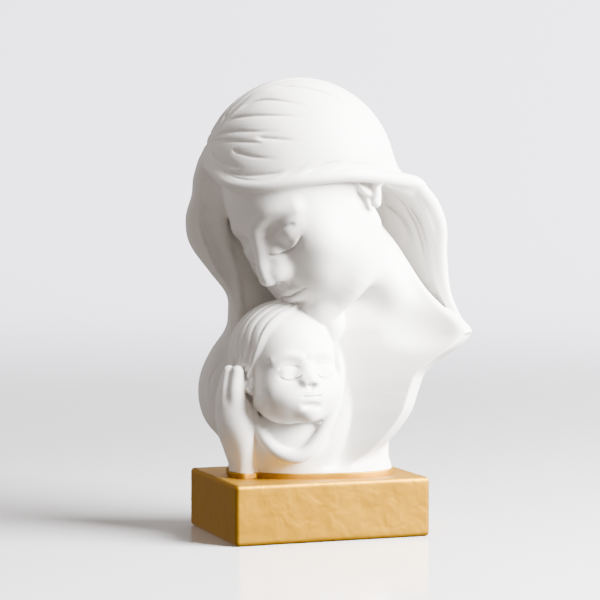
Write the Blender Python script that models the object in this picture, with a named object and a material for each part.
"""Mother and child sculpture: a white cast figure on a gold-painted plinth.

Two solids. The figure is modelled like clay: simple solid forms, each a distance function, are blended and cut
into one body, and the body's surface is then meshed. The plinth is a rounded block with a raised foot band.
World: metres, +Z up, the plinth's front faces -Y, the origin is the middle of its underside.
"""
import math

import bmesh
import bpy
import numpy as np

# Sizes of the plinth, metres
PLINTH_LENGTH = 0.110
PLINTH_DEPTH = 0.0837
PLINTH_HEIGHT = 0.0323
PLINTH_EDGE = 0.0022
BAND_HEIGHT = 0.0030
BAND_LEDGE = 0.0009
BAND_EDGE = 0.0006
FIT_GAP = 0.0003

# Sizes of the figure, metres and degrees
FIGURE_HEIGHT = 0.2150
FIGURE_TURN = -19.6
HOOD_RIM = 0.0036
LOCK_DEPTH = 0.0014
FURROW_DEPTH = 0.0011

# Fineness of the mesh
CLAY_CELL = 0.0016
FIGURE_FACES = 8600
EDGE_STEPS = 4
FOOT_STEPS = 72

# From here the figure is drawn in parts: 215 parts are its height from the plinth's top to the crown.
# Its x runs to the viewer's right, y away from the viewer, z up from the plinth's top.
PARTS = 215.0
PART = FIGURE_HEIGHT / PARTS
RIM = HOOD_RIM / PART
LOCKS = LOCK_DEPTH / PART
FURROWS = FURROW_DEPTH / PART

# The hood's outline seen from the front: height, then place across
LEFT_EDGE = ((-8, -42), (30, -42), (60, -41), (83, -42.5), (97, -45), (110, -54.5), (125, -65), (139, -67),
             (152, -63.5), (163, -62), (179, -55.5), (200, -44))
RIGHT_EDGE = ((-8, 44.5), (20, 44.5), (46, 50), (66, 66), (84, 83.5), (91, 80.5), (102, 77.5), (120, 76), (135, 75.5), (148, 70),
              (157, 61.5), (164, 51), (178, 43), (200, 30))
# The hood's depth: height, then place of the back, of the left rim and of the right rim
BACK_EDGE = ((-8, 26), (20, 30), (50, 35), (84, 37), (110, 41), (140, 46), (166, 47), (200, 36))
LEFT_RIM = ((-8, -16), (30, -10), (60, -2), (98, 0), (118, -2), (143, -4), (165, -6), (200, -8))
RIGHT_RIM = ((-8, -16), (60, -2), (84, 0), (107, 2), (131, -1), (146, -5), (155, -11), (162, -14), (200, -10))
# The hollow inside the hood: height, then how far its back wall stands from the hood's back, and how open it is
LEFT_LIP = ((60, -20), (72, -36), (84, -39), (97, -41.5), (105, -45.5), (111, -49.5), (125, -56), (136, -58.5),
            (150, -58.3), (160, -57.5), (170, -52))
RIGHT_LIP = ((60, 30), (72, 60), (84, 80), (92, 75.5), (102, 71.6), (112.5, 69.8), (125, 68.3), (136.6, 65),
             (143, 62), (149, 57.7), (153, 51), (157, 41), (170, 20))
HOLLOW_WALL = ((60, 34), (70, 20), (84, 16), (106, 15), (140, 17), (152, 20), (160, 28), (168, 36))

# The hood ends inside the dome of hair, at this height
HOOD_TOP = 180.0

# Head of hair: middle and half sizes of the dome, the direction of its gathering point, and its edge over the face
DOME_MIDDLE = (-5.5, 1.0, 162.4)
DOME_HALF = (53.0, 46.0, 53.0)
GATHER = (-0.87, -0.40, 0.28)
STRANDS = 20
HAIRLINE = ((-75, 171), (-57, 168), (-48, 159), (-38, 155), (-22, 154.5), (-6, 157), (10, 159), (26, 160), (36, 160))

# Locks of hair at the left: one inside the hood beside the face, two over its lower bulge; with their blends
SIDE_LOCKS = (
    (((-51, 2, 168, 6), (-51.5, 2, 158, 6.5), (-50.8, 4, 148, 5.6), (-48.8, 8, 138, 4.2), (-46, 12, 127, 2.6)), 4),
    (((-50, 11, 134, 1.4), (-48, 10.5, 127, 2), (-44.3, 11.5, 118.5, 2.6), (-41.6, 11, 109, 3), (-40, 6, 100, 3),
      (-39.4, 3, 90, 3), (-41.2, 1, 78, 2.5)), 3),
    (((-39, 8, 88, 3), (-41.2, 8, 76, 4.6), (-45.5, 7, 62, 9), (-47, 5, 51, 12.4), (-47, 3, 42, 13.2),
      (-45.5, 1, 34, 12.2), (-42.5, -1, 26, 9), (-39.5, -3, 18, 7)), 7),
    (((-34, 19, 92, 5), (-36, 19, 74, 8), (-38.5, 17, 58, 12), (-39, 15, 46, 14), (-37, 12, 32, 12.5),
      (-33, 8, 18, 9)), 10),
)

# The bust under the neck: height, left, right, front, back
BUST = ((-8, -30, 14, -20, 26), (4, -34, 25, -21.5, 26), (12, -38, 36, -23, 26), (20, -42, 44.5, -24, 26),
        (28, -42, 51, -24.5, 25.5), (36, -42, 55.8, -25, 24), (43, -42, 58, -25, 23), (50, -42, 60.2, -25, 22),
        (56, -42, 63, -24.5, 21), (63, -40, 71, -23.5, 20), (70, -36, 81, -22, 18.5), (76, -32, 86.8, -20, 17.5),
        (80, -29, 87, -18.5, 17), (86, -22, 80, -15, 18), (92, -12, 72, -11, 21), (98, -2, 66, -7, 24),
        (104, 2, 61, -4, 26), (112, 4, 55.5, 0, 28), (126, 6, 46, 3, 31), (134, 6, 39.5, 4, 32),
        (142, 6, 34.5, 5, 32), (156, 6, 28, 5, 32))
CHEST_TURN = 0.16

# Fingers: the tip, the root in the palm, and half the thickness there
FINGERS = (((-37.8, -27.5, 57.2), (-38.4, -26.5, 34), 4.9), ((-42.4, -24.8, 57.4), (-43.2, -24.5, 34), 4.5),
           ((-44.4, -20, 53.5), (-45.6, -19.5, 32), 4.2))
# The foot: left, right, front and back
FOOT = (-43.0, 44.5, -28.5, 25.0)

# Place, turn (about z, x, y) and size of the two heads, which are drawn 106 parts tall
MOTHER_HEAD = dict(place=(2.0, 0.0, 146.0), turn=(-45, 30, -18), size=1.03)
CHILD_HEAD = dict(place=(-10.2, -14.0, 57.6), turn=(22, -12, -2), size=0.63)

# A head in its own frame: x to a side, face towards -y, origin between the ears at the level of the eyes
ADULT = dict(
    skull=((0, 5, 17), (38, 46, 37)), face=((0, -10, -9), (30.5, 33, 37)),
    jaw=((27, 3, -22, 9), (18, -19, -39, 9), (0, -33, -46, 8.5)),
    cheek=((18.5, -25.5, -13), (13, 10.5, 12)), side=((18.5, -14, -25), (13.5, 18, 18)),
    chin=((0, -36, -45.5), (8.5, 7.5, 6.5)),
    brow=((4, -40.0, 9, 2.2), (14, -37.6, 12, 2.4), (25, -30, 9, 2.2)), socket=((15.5, -44.5, 0.5), (11, 7, 7.5)),
    eye=(15.4, -29.0, -1.5, 10.8), opening=8.6, muzzle=((0, -31.5, -28.5), (21.5, 11.6, 13)),
    bridge=((0, -40.5, 6, 3.4), (0, -44.5, -2, 3.9), (0, -48.6, -10, 4.7), (0, -50.4, -14.5, 4.9)),
    flank=((3.2, -38.5, 1, 3.6), (5.0, -42, -8, 4.8), (5.4, -44, -14, 5.2)),
    wing=((5.4, -45.4, -16), (3.6, 5.0, 3.8)), nostril=((3.1, -48.2, -19.8), (1.6, 2.7, 1.5)),
    mouth=(-43.6, -30.0, 11.5, 2.0), ear=0, hair=False,
)
CHILD = dict(
    skull=((0, 8, 19), (42, 49, 38)), face=((0, -11, -12), (34, 31, 33)),
    jaw=((27, -2, -26, 9), (17, -19, -37, 10), (0, -30.5, -41, 8.5)),
    cheek=((18, -25, -21), (14, 12, 12)), side=((18, -15, -26), (14, 14, 13)), chin=((0, -34, -41), (8.5, 7, 6)),
    brow=((5, -38.8, 4, 1.6), (15, -37.4, 7, 1.8), (26, -31, 4, 1.6)), socket=((15.5, -44.5, -5.5), (10.5, 6, 7)),
    eye=(15.5, -27.6, -7.0, 9.9), opening=8.0, muzzle=((0, -31.5, -28), (20.5, 12, 12.5)),
    bridge=((0, -39.5, -4, 3.0), (0, -42.0, -10, 3.3), (0, -45.5, -15.5, 4.0)),
    flank=((3, -38.5, -6, 3.2), (4.6, -41, -13, 3.6)),
    wing=((4.8, -43.2, -17.2), (3.0, 4.0, 3.0)), nostril=((2.5, -45.6, -20.0), (1.2, 2.0, 1.2)),
    mouth=(-42.2, -29.5, 8.6, 2.1), ear=13, hair=True,
)
# The child's hairline: angle about the face's middle from the crown, degrees, then depth
CHILD_HAIRLINE = ((-180, 20), (-135, 8), (-118, -4), (-98, -15), (-75, -25), (-39, -31), (-10, -30), (5, -25), (14, -12),
                  (22, -13), (42, -16), (64, -12), (90, -3), (130, 16), (180, 20))


# %% Blending of distances: negative is inside
def join(a, b, blend):
    share = np.clip(0.5 + 0.5 * (b - a) / blend, 0.0, 1.0)
    return b + (a - b) * share - blend * share * (1.0 - share)


def carve(a, b, blend):
    return -join(-a, b, blend)


def common(a, b, blend):
    return -join(-a, -b, blend)


def ease(value, low, high):
    share = np.clip((value - low) / (high - low), 0.0, 1.0)
    return share * share * (3.0 - 2.0 * share)


def smooth_curve(knots, steps=6):
    """Points of a smooth curve through the knots, which may be rows of any width."""
    knots = np.asarray(knots, float)
    ends = np.vstack([2 * knots[0] - knots[1], knots, 2 * knots[-1] - knots[-2]])
    share = (np.arange(steps) / steps)[:, None]
    spans = []
    for a, b, c, d in zip(ends, ends[1:], ends[2:], ends[3:]):
        bend = (2 * a - 5 * b + 4 * c - d) * share ** 2 + (3 * b - a - 3 * c + d) * share ** 3
        spans.append(0.5 * (2 * b + (c - a) * share + bend))
    return np.vstack(spans + [knots[-1:]])


def read_curve(value, knots, column=1):
    curve = smooth_curve(knots)
    return np.interp(value, curve[:, 0], curve[:, column])


def turn_matrix(about_z, about_x, about_y):
    z, x, y = (math.radians(angle) for angle in (about_z, about_x, about_y))
    turn_z = np.array([[math.cos(z), -math.sin(z), 0], [math.sin(z), math.cos(z), 0], [0, 0, 1]])
    turn_x = np.array([[1, 0, 0], [0, math.cos(x), -math.sin(x)], [0, math.sin(x), math.cos(x)]])
    turn_y = np.array([[math.cos(y), 0, math.sin(y)], [0, 1, 0], [-math.sin(y), 0, math.cos(y)]])
    return turn_z @ turn_x @ turn_y


# %% Simple forms
class Ball:
    """An ellipsoid from its middle and half sizes."""

    def __init__(self, middle, half):
        self.middle = np.array(middle, float)
        self.half = np.array(half, float)
        self.low = self.middle - self.half
        self.high = self.middle + self.half

    def distance(self, points):
        local = points - self.middle
        size = np.sqrt(((local / self.half) ** 2).sum(1))
        slope = np.sqrt(((local / self.half ** 2) ** 2).sum(1))
        return size * (size - 1.0) / np.maximum(slope, 1e-9)


class Limb:
    """A round bar of changing thickness along a smooth curve. Knots are x, y, z and radius."""

    def __init__(self, knots, steps=6):
        self.curve = smooth_curve(knots, steps)
        radius = self.curve[:, 3:]
        self.low = (self.curve[:, :3] - radius).min(0)
        self.high = (self.curve[:, :3] + radius).max(0)

    def distance(self, points):
        nearest = np.full(len(points), 1e3)
        for start, end in zip(self.curve, self.curve[1:]):
            along = end[:3] - start[:3]
            share = np.clip((points - start[:3]) @ along / max(along @ along, 1e-9), 0.0, 1.0)
            away = points - start[:3] - share[:, None] * along
            length = np.sqrt((away ** 2).sum(1)) - start[3] - (end[3] - start[3]) * share
            nearest = np.minimum(nearest, length)
        return nearest


def blend_in(mix, distance, points, form, blend):
    """Blend a small form into a body, working only on the points near it."""
    near = ((points > form.low - blend - 3) & (points < form.high + blend + 3)).all(1)
    if near.any():
        distance[near] = mix(distance[near], form.distance(points[near]), blend)
    return distance


def column(points, left, right, front, back, power):
    """Distance to an upright column whose section is a rounded box, different at each height."""
    half_x, half_y = np.maximum((right - left) / 2, 0.5), np.maximum((back - front) / 2, 0.5)
    across = np.abs(points[:, 0] - (left + right) / 2) / half_x
    deep = np.abs(points[:, 1] - (front + back) / 2) / half_y
    size = np.maximum((across ** power + deep ** power) ** (1 / power), 1e-3)
    slope = np.hypot((across / size) ** (power - 1) / half_x, (deep / size) ** (power - 1) / half_y)
    return (size - 1) / np.maximum(slope, 1e-3)


# %% The two heads
def head(points, look):
    """Distance to a head 106 parts tall, both halves alike."""
    half = points.copy()
    half[:, 0] = np.abs(half[:, 0])
    body = Ball(*look["skull"]).distance(half)
    body = join(body, Ball(*look["face"]).distance(half), 16)
    body = blend_in(join, body, half, Limb(look["jaw"]), 10)
    body = blend_in(join, body, half, Ball(*look["side"]), 14)
    body = blend_in(join, body, half, Ball(*look["cheek"]), 12)
    body = blend_in(join, body, half, Ball(*look["chin"]), 7)
    body = blend_in(join, body, half, Ball(*look["muzzle"]), 10)
    body = blend_in(join, body, half, Limb(look["brow"]), 6)
    body = blend_in(carve, body, half, Ball(*look["socket"]), 8)
    body = blend_in(join, body, half, Ball(look["eye"][:3], [look["eye"][3]] * 3), 3)
    body = blend_in(join, body, half, Limb(look["flank"]), 6)
    body = blend_in(join, body, half, Limb(look["bridge"]), 4)
    body = blend_in(join, body, half, Ball(*look["wing"]), 4)
    body = blend_in(carve, body, half, Ball(*look["nostril"]), 1.5)
    body = closed_lids(body, half, look["eye"], look["opening"])
    body = mouth(body, half, *look["mouth"])
    body = ear(body, half, look["ear"])
    return body - child_hair(points) if look["hair"] else body


def closed_lids(body, half, eye, opening):
    """The line of the lashes, the upper lid's thickness over it and the fold above."""
    across, deep, height = half.T
    place = (across - eye[0]) / opening
    front = ease(-deep, 22, 28)
    ends = front * (1 - ease(np.abs(place), 0.8, 1.15))
    lashes = height - (eye[2] - 3.6 - 3.0 * np.clip(1 - place ** 2, 0, 1))
    fold = height - (eye[2] + 2.6 + 2.4 * np.clip(1 - (0.85 * place) ** 2, 0, 1))
    lid = 0.8 * ease(lashes, -0.5, 0.4) * (1 - ease(fold, -4, 1)) * (1 - ease(np.abs(place), 0.5, 1.2))
    return body - front * lid + ends * (0.9 * np.exp(-(lashes + 0.6) ** 2 / 0.6) + 0.6 * np.exp(-fold ** 2 / 1.2))


def mouth(body, half, front, line, width, lip):
    across, deep, height = half.T
    upper = ((0, front + 0.4, line + lip, lip * 0.8), (width * 0.22, front, line + lip * 1.2, lip),
             (width * 0.55, front + 1.8, line + lip * 0.9, lip * 0.8), (width, front + 6.6, line + 0.3, 0.6))
    lower = ((0, front + 1.0, line - lip * 1.05, lip * 1.15), (width * 0.45, front + 2.0, line - lip, lip),
             (width * 0.9, front + 6.0, line - 0.4, 0.6))
    body = blend_in(join, body, half, Limb(upper), 2.2)
    body = blend_in(join, body, half, Limb(lower), 2.2)
    body = blend_in(carve, body, half, Ball((0, front + 0.2, line - lip * 3.6), (7, 2.8, 1.8)), 4)
    shown = ease(-deep, 26, 32)
    parting = height - line + 0.3 * np.cos(across / width * 4)
    closed = 1.3 * np.exp(-parting ** 2 / 0.35) * (1 - ease(across, width * 0.8, width * 1.15))
    between = (1 - ease(across, 1.0, 2.4)) * ease(height, line + lip * 2, line + lip * 3) * (
        1 - ease(height, line + lip * 4.5, line + lip * 6))
    return body + shown * (closed + 0.6 * between)


def ear(body, half, forward):
    half = half + np.array((-0.1 * forward, forward, 0.3 * forward))
    rim = ((37.5, 4.5, 6, 1.3), (38.5, 7, 10.5, 1.6), (39.8, 11.5, 10.5, 1.8), (41, 15, 5, 1.9), (40.4, 14, -3, 1.9),
           (39, 9.5, -10.5, 2.2), (37.8, 6, -14.5, 2.7))
    body = blend_in(join, body, half, Ball((36.5, 9.5, -2), (3.0, 6.5, 12)), 3)
    body = blend_in(carve, body, half, Ball((41.0, 8.5, -0.5), (5.0, 5.0, 9.5)), 2)
    return blend_in(join, body, half, Limb(rim), 1.5)


def child_hair(points):
    """How far the child's hair stands out from the skull, with its combed strands."""
    across, deep, height = points.T
    angle = np.degrees(np.arctan2(across, height - 8))
    behind = deep - read_curve(angle, CHILD_HAIRLINE)
    strand = behind / 7.5 + 0.25 * np.sin(height / 9) + 0.5
    combed = furrow(strand, 0.16) * ease(behind, 2, 5) * (1 - ease(behind, 30, 50)) * ease(-across, -10, 2)
    shell = 2.4 + 1.6 * ease(behind, 6, 24)
    return (shell * ease(behind, -0.8, 2.5) - 1.4 * combed) * ease(height, -30, -16)


def place_head(points, look, place, turn, size):
    local = (points - np.array(place)) @ turn_matrix(*turn) / size
    near = (np.abs(local) < 75).all(1)
    distance = np.full(len(points), 1e3)
    distance[near] = head(local[near], look) * size
    return distance


# %% Hair
def furrow(position, width):
    """1 at each whole number of position, falling to 0 between them."""
    return np.exp(-((position - np.round(position)) / width) ** 2)


def dome(points):
    """The head of hair, with strands that fan out from the gathering point."""
    body = Ball(DOME_MIDDLE, DOME_HALF).distance(points)
    axis = np.array(GATHER) / np.linalg.norm(GATHER)
    side = np.cross(axis, (0.3, 1.0, 0))
    side /= np.linalg.norm(side)
    spread = (points - np.array(DOME_MIDDLE)) / np.array(DOME_HALF)
    spread /= np.maximum(np.linalg.norm(spread, axis=1), 1e-6)[:, None]
    away = np.arccos(np.clip(spread @ axis, -1, 1))
    around = np.arctan2(spread @ side, spread @ np.cross(axis, side))
    strand = around * STRANDS / (2 * math.pi) + 0.3 * np.sin(2.2 * away)
    number = np.round(strand) % STRANDS
    reach = 0.85 + 0.4 * np.sin(number * 2.4)
    fade = ease(away, 0.16, 0.4) * (1 - ease(away, reach, reach + 0.7))
    spacing = np.maximum(DOME_HALF[0] * np.sin(away) * 2 * math.pi / STRANDS, 1)
    fan = furrow(strand, np.clip(1.3 / spacing, 0.08, 0.35)) * fade
    swept = swept_strands(points)
    return body + FURROWS * np.maximum(fan * (1 - ease(swept, 0, 0.3)), 0.8 * swept)


def on_dome(across, height, sunk):
    """A point on the front of the dome, sunk a little into it."""
    flat = ((across - DOME_MIDDLE[0]) / DOME_HALF[0]) ** 2 + ((height - DOME_MIDDLE[2]) / DOME_HALF[2]) ** 2
    return across, DOME_MIDDLE[1] - DOME_HALF[1] * math.sqrt(max(1 - flat, 0.02)) + sunk, height


def hood(points):
    """The hair drawn down both sides and the back, open to the front."""
    across, deep, height = points.T
    left = read_curve(height, LEFT_EDGE)
    right = read_curve(height, RIGHT_EDGE)
    back = read_curve(height, BACK_EDGE)
    middle = (left + right) / 2
    body = column(points, left, right, -back, back, 2.2)
    around = np.arctan2((across - middle) / (right - left) * 2, np.maximum(deep, -10) / back)
    strand = around * 16 / (2 * math.pi) + 0.35 * np.sin(height / 26) + 0.5
    body = body + LOCKS * furrow(strand, 0.17) * (1 - ease(height, 140, 176)) * ease(deep, -12, 4)
    turned = read_curve(height, RIGHT_RIM) + 0.35 * np.maximum(across - right + 7, -12)
    rim = np.where(across < 0, read_curve(height, LEFT_RIM), turned)
    body = common(body, rim - deep, 5)
    body = common(body, height - HOOD_TOP, 12)
    return carve(body, hollow(points, back), 2)


def hollow(points, back):
    across, deep, height = points.T
    rear = back - read_curve(height, HOLLOW_WALL)
    left, right = read_curve(height, LEFT_LIP), read_curve(height, RIGHT_LIP)
    power = np.where(across < (left + right) / 2, 1.5, 2.4)
    local = points.copy()
    local[:, 1] = np.maximum(deep, 0)
    body = column(local, left, right, -rear, rear, power)
    strand = (across - 30) / np.maximum(right - 30, 12) * 3.2 + 0.12 * np.sin(height / 11)
    body = body - FURROWS * furrow(strand, 0.16) * ease(strand, 0.5, 0.9) * (1 - ease(height, 138, 156))
    floor = np.maximum(62 - height, height - 170)
    return np.maximum(body, floor)


def hair_edge():
    """The rolled edge of the hair: along the hairline over the dome, then down the hood's right rim."""
    knots = []
    for across, thick in ((-54, 2.4), (-42, 3.0), (-24, 3.2), (-6, 3.2), (12, 3.2), (28, 3.6)):
        knots.append((*on_dome(across, float(read_curve(across, HAIRLINE)) + thick * 0.5, thick * 0.4), thick))
    for height, share in ((158.5, 1.1), (153, 1.1), (145, 1.05), (134, 0.95), (120, 0.9), (108, 0.8), (98, 0.62),
                          (90, 0.5)):
        thick = RIM * share
        across = float(read_curve(height, RIGHT_EDGE)) - thick
        knots.append((across, float(read_curve(height, RIGHT_RIM)) + thick * 0.85, height, thick))
    knots.append((83.5, -6, 80, 2.2))
    return Limb(knots)


def swept_strands(points):
    """Fine furrows that rise from the rolled edge towards the right of the dome."""
    across, deep, height = points.T
    above = np.maximum(height - read_curve(across, HAIRLINE) - 8, 0)
    strand = (across - 18 * (above / 5) ** 0.6) / 10
    return furrow(strand, 0.13) * ease(above, 0.2, 3) * (1 - ease(above, 9, 18)) * ease(across, -34, -16) * ease(-deep, 8, 22)


# %% The whole figure
def figure(points):
    """Distance to the figure, in parts."""
    across, deep, height = points.T
    body = hood(points)
    bust = smooth_curve(BUST, 8)
    left, right, front, back = (np.interp(height, bust[:, 0], bust[:, i]) for i in range(1, 5))
    thin = 1 - 0.5 * np.clip((across - (left + right) / 2) / (right - left) * 2, 0, 1) ** 2
    middle = (front + back) / 2
    slab = column(points, left, right + 0.5, front - 12, middle + (back - middle) * thin, 4)
    slab = common(slab, front - CHEST_TURN * (across - 40) - deep, 3)
    edge_front = front - CHEST_TURN * (right - 40)
    edge = 0.85 * (across - right) - 0.53 * (deep - edge_front - 9)
    slab = common(slab, edge - 30 * ease(height, 76, 90), 1)
    slab = np.maximum(slab, height - 156)
    slab = blend_in(carve, slab, points, Ball((58, -27, 84), (18, 9, 11)), 8)
    body = join(body, slab, 4)

    line = read_curve(across, HAIRLINE)
    front_share = ease(deep, 27, 15)
    hair = common(dome(points), (line - height) * front_share * 0.9 - (1 - front_share) * 20, 5)
    mother = place_head(points, ADULT, **MOTHER_HEAD)
    body = join(body, blend_in(carve, mother, points, Ball((54, 9, 137), (12.5, 19, 16)), 4), 3)
    body = join(body, hair, 2.5)
    body = blend_in(join, body, points, hair_edge(), 3)
    for lock, blend in SIDE_LOCKS:
        body = blend_in(join, body, points, Limb(lock), blend)

    neck = ((18, 5, 150, 10), (25, 2, 132, 11.5), (36, -1, 114, 13), (47, -4, 97, 10))
    body = blend_in(join, body, points, Limb(neck), 9)
    foot = column(points, *FOOT, 2.3)
    body = join(body, common(foot, height - 4, 4), 6)

    body = child(body, points)
    return hand(body, points)


def child(body, points):
    body = blend_in(join, body, points, Ball((11.5, -11, 81), (8.5, 10, 13)), 1.2)
    body = blend_in(join, body, points, Ball((-9, -15, 18), (27, 19, 22)), 6)
    body = blend_in(join, body, points, Limb([(-8, -12, 40, 9), (-7, -14, 24, 10)]), 4)
    outer = ((13, -8, 76, 3), (16, -13, 66, 4.2), (19, -16, 47, 6), (16, -19, 31, 7), (9, -21, 17, 8),
             (-3, -20, 4, 8.5))
    body = blend_in(join, body, points, Limb(outer), 1.5)
    body = join(body, place_head(points, CHILD, **CHILD_HEAD), 1.2)
    rim = ((-33, -18, 42, 2.5), (-26, -28, 26, 3.0), (-18, -33, 16, 3.6), (-9, -35.5, 12.5, 3.8), (0, -35, 15.5, 3.6),
           (9, -32, 27, 3.2), (15, -28, 41, 2.8), (16.5, -23, 55, 2.6), (14.5, -17, 68, 2.6), (11, -10, 78, 2.6))
    return blend_in(join, body, points, Limb(rim), 2)


def hand(body, points):
    arm = ((-35.5, -17, -8, 7.4), (-35.5, -18, 6, 7.3), (-37.4, -20.5, 18, 8.8), (-39.4, -22.0, 28, 9.9),
           (-40.8, -22.5, 39, 8.8), (-41.3, -22.0, 46, 6.5))
    heel = ((-34, -22, -8, 5.4), (-33.8, -23.5, 6, 5.8), (-34, -25.5, 18, 6.4), (-36, -26.5, 28, 7), (-37.8, -26, 38, 6))
    arm = join(Limb(arm).distance(points), Limb(heel).distance(points), 3)
    body = join(body, arm, 2)
    for tip, root, thick in FINGERS:
        middle = [(a + b) / 2 - bend for a, b, bend in zip(tip, root, (0.6, 1.2, 0))]
        finger = Limb(((*root, thick), (*middle, thick * 0.95), (*tip, thick * 0.68)))
        body = blend_in(join, body, points, finger, 1.2)
    return body


# %% From a field of distances to a mesh
def sample(field, low, high, cell, block=4):
    """Distances on a grid, worked out finely only near the surface."""
    low = np.array(low, float)
    blocks = np.ceil((np.array(high) - low) / cell / block).astype(int)
    axes = [low[i] + cell * (np.arange(blocks[i]) * block + (block - 1) / 2) for i in range(3)]
    middles = np.stack(np.meshgrid(*axes, indexing="ij"), -1).reshape(-1, 3)
    coarse = field(middles).reshape(blocks)
    values = coarse.repeat(block, 0).repeat(block, 1).repeat(block, 2)
    near = np.argwhere(np.abs(coarse) < block * cell * 1.1 + 1.5)
    inner = np.stack(np.meshgrid(*[np.arange(block)] * 3, indexing="ij"), -1).reshape(-1, 3)
    nodes = (near[:, None] * block + inner).reshape(-1, 3)
    for start in range(0, len(nodes), 400000):
        some = nodes[start:start + 400000]
        values[some[:, 0], some[:, 1], some[:, 2]] = field(low + some * cell)
    return values, low


def surface(values, low, cell):
    """Triangles of the surface where the distance is zero: each grid cube is cut into six tetrahedra."""
    shape = values.shape
    values = np.where(np.abs(values) < cell * 1e-3, cell * 1e-3, values).ravel()
    corner_steps = np.array([(i & 1) * shape[1] * shape[2] + (i >> 1 & 1) * shape[2] + (i >> 2 & 1) for i in range(8)])
    cubes = np.indices([n - 1 for n in shape]).reshape(3, -1)
    cubes = np.ravel_multi_index(cubes, shape)
    signs = sum((values[cubes + step] < 0).astype(np.int8) for step in corner_steps)
    cubes = cubes[(signs > 0) & (signs < 8)]
    triangles = []
    for first, second in ((1, 2), (1, 4), (2, 1), (2, 4), (4, 1), (4, 2)):
        corners = cubes[:, None] + corner_steps[[0, first, first | second, 7]]
        inside = values[corners] < 0
        order = np.argsort(~inside, axis=1, kind="stable")
        corners = np.take_along_axis(corners, order, 1)
        count = inside.sum(1)
        a, b, c, d = (corners[count == 1][:, i] for i in range(4))
        triangles.append(np.stack([a, b, a, c, a, d], 1))
        a, b, c, d = (corners[count == 3][:, i] for i in range(4))
        triangles.append(np.stack([a, d, b, d, c, d], 1))
        a, b, c, d = (corners[count == 2][:, i] for i in range(4))
        triangles.append(np.stack([a, c, a, d, b, d], 1))
        triangles.append(np.stack([a, c, b, d, b, c], 1))
    edges = np.vstack(triangles).reshape(-1, 2)
    keys, index = np.unique(edges.min(1) * len(values) + edges.max(1), return_inverse=True)
    inner, outer = keys // len(values), keys % len(values)
    share = (values[inner] / (values[inner] - values[outer]))[:, None]
    place = np.stack(np.unravel_index(inner, shape), 1) * (1 - share) + np.stack(np.unravel_index(outer, shape), 1) * share
    faces = index.reshape(-1, 3)
    corner = np.stack(np.unravel_index(edges, shape), -1).reshape(-1, 3, 2, 3)
    outside = np.where((values[edges[:, 0]] > values[edges[:, 1]])[:, None], -1, 1).reshape(-1, 3)
    outward = ((corner[:, :, 1] - corner[:, :, 0]) * outside[:, :, None]).sum(1)
    normal = np.cross(place[faces[:, 1]] - place[faces[:, 0]], place[faces[:, 2]] - place[faces[:, 0]])
    flip = (normal * outward).sum(1) < 0
    faces[flip] = faces[flip][:, ::-1]
    return low + place * cell, faces


def to_world(points):
    """From the figure's frame, in parts above the plinth's top, to world metres."""
    turned = points @ turn_matrix(FIGURE_TURN, 0, 0).T * PART
    turned[:, 2] += PLINTH_HEIGHT
    return turned


# %% Solids
def paint(name, colour, roughness, metallic):
    material = bpy.data.materials.new(name)
    material.use_nodes = True
    shader = material.node_tree.nodes["Principled BSDF"]
    shader.inputs["Base Color"].default_value = (*colour, 1)
    shader.inputs["Roughness"].default_value = roughness
    shader.inputs["Metallic"].default_value = metallic
    return material


def add_object(name, mesh, material):
    thing = bpy.data.objects.new(name, mesh)
    bpy.context.scene.collection.objects.link(thing)
    mesh.materials.append(material)
    return thing


def apply_modifiers(thing):
    depsgraph = bpy.context.evaluated_depsgraph_get()
    mesh = bpy.data.meshes.new_from_object(thing.evaluated_get(depsgraph))
    thing.modifiers.clear()
    thing.data = mesh
    mesh.name = thing.name


def cut_flat(mesh, height):
    """Cut the mesh off below a height and close it with a flat face."""
    work = bmesh.new()
    work.from_mesh(mesh)
    everything = work.verts[:] + work.edges[:] + work.faces[:]
    bmesh.ops.bisect_plane(work, geom=everything, plane_co=(0, 0, height), plane_no=(0, 0, 1), clear_inner=True)
    rim = [edge for edge in work.edges if edge.is_boundary]
    bmesh.ops.holes_fill(work, edges=rim, sides=0)
    bmesh.ops.triangulate(work, faces=work.faces[:])
    bmesh.ops.recalc_face_normals(work, faces=work.faces[:])
    work.to_mesh(mesh)
    work.free()


def build_figure(material):
    values, low = sample(figure, (-78, -64, -8), (100, 58, 222), CLAY_CELL / PART)
    points, faces = surface(values, low, CLAY_CELL / PART)
    mesh = bpy.data.meshes.new("figure")
    mesh.from_pydata(to_world(points).tolist(), [], faces.tolist())
    thing = add_object("figure", mesh, material)
    thinner = thing.modifiers.new("fewer faces", "DECIMATE")
    thinner.ratio = FIGURE_FACES / len(faces)
    apply_modifiers(thing)
    cut_flat(thing.data, PLINTH_HEIGHT + BAND_HEIGHT + FIT_GAP)
    return thing


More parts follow.
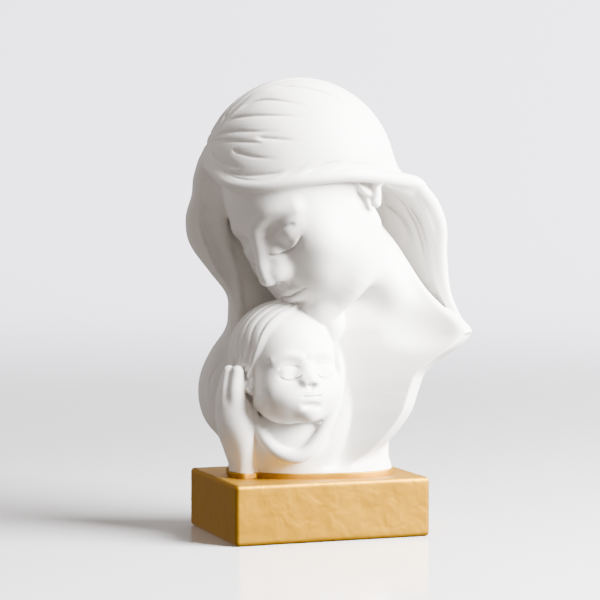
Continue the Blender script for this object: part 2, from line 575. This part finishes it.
def foot_outline():
    """The figure's outline at the top of the band, found along rays from the middle of its foot."""
    angles = np.arange(FOOT_STEPS) * 2 * math.pi / FOOT_STEPS
    rays = np.stack([np.cos(angles), np.sin(angles)], 1)
    near, far = np.full(FOOT_STEPS, 5.0), np.full(FOOT_STEPS, 70.0)
    for _ in range(24):
        middle = (near + far) / 2
        level = np.full((FOOT_STEPS, 1), (BAND_HEIGHT + FIT_GAP) / PART)
        outside = figure(np.hstack([rays * middle[:, None], level])) > 0
        near, far = np.where(outside, near, middle), np.where(outside, middle, far)
    return to_world(np.hstack([rays * near[:, None], np.zeros((FOOT_STEPS, 1))]))[:, :2]


def build_plinth(material):
    work = bmesh.new()
    bmesh.ops.create_cube(work, size=1)
    bmesh.ops.scale(work, vec=(PLINTH_LENGTH, PLINTH_DEPTH, PLINTH_HEIGHT), verts=work.verts)
    bmesh.ops.translate(work, vec=(0, 0, PLINTH_HEIGHT / 2), verts=work.verts)
    bmesh.ops.bevel(work, geom=work.edges[:], offset=PLINTH_EDGE, segments=EDGE_STEPS, profile=0.5, affect="EDGES",
                    clamp_overlap=True)
    block = bpy.data.meshes.new("plinth")
    work.to_mesh(block)
    work.free()
    thing = add_object("plinth", block, material)

    outline = foot_outline()
    following = np.roll(outline, -1, 0) - np.roll(outline, 1, 0)
    outward = np.stack([following[:, 1], -following[:, 0]], 1)
    outward /= np.linalg.norm(outward, axis=1)[:, None]
    rings = ((BAND_LEDGE, -PLINTH_HEIGHT / 2), (BAND_LEDGE, BAND_HEIGHT - BAND_EDGE),
             (BAND_LEDGE - BAND_EDGE, BAND_HEIGHT))
    work = bmesh.new()
    rows = []
    for ledge, height in rings:
        row = outline + outward * ledge
        rows.append([work.verts.new((x, y, PLINTH_HEIGHT + height)) for x, y in row])
    for lower, upper in zip(rows, rows[1:]):
        for i in range(FOOT_STEPS):
            j = (i + 1) % FOOT_STEPS
            work.faces.new((lower[i], lower[j], upper[j], upper[i]))
    work.faces.new(rows[-1])
    work.faces.new(rows[0][::-1])
    band = bpy.data.meshes.new("foot band")
    work.to_mesh(band)
    work.free()
    cutter = add_object("foot band", band, material)
    union = thing.modifiers.new("foot band", "BOOLEAN")
    union.operation = "UNION"
    union.solver = "EXACT"
    union.object = cutter
    apply_modifiers(thing)
    bpy.data.objects.remove(cutter)
    return thing


def main():
    for thing in list(bpy.data.objects):
        bpy.data.objects.remove(thing)
    build_figure(paint("white resin", (0.86, 0.84, 0.81), 0.55, 0.0))
    build_plinth(paint("gold paint", (0.72, 0.46, 0.14), 0.35, 0.7))


main()
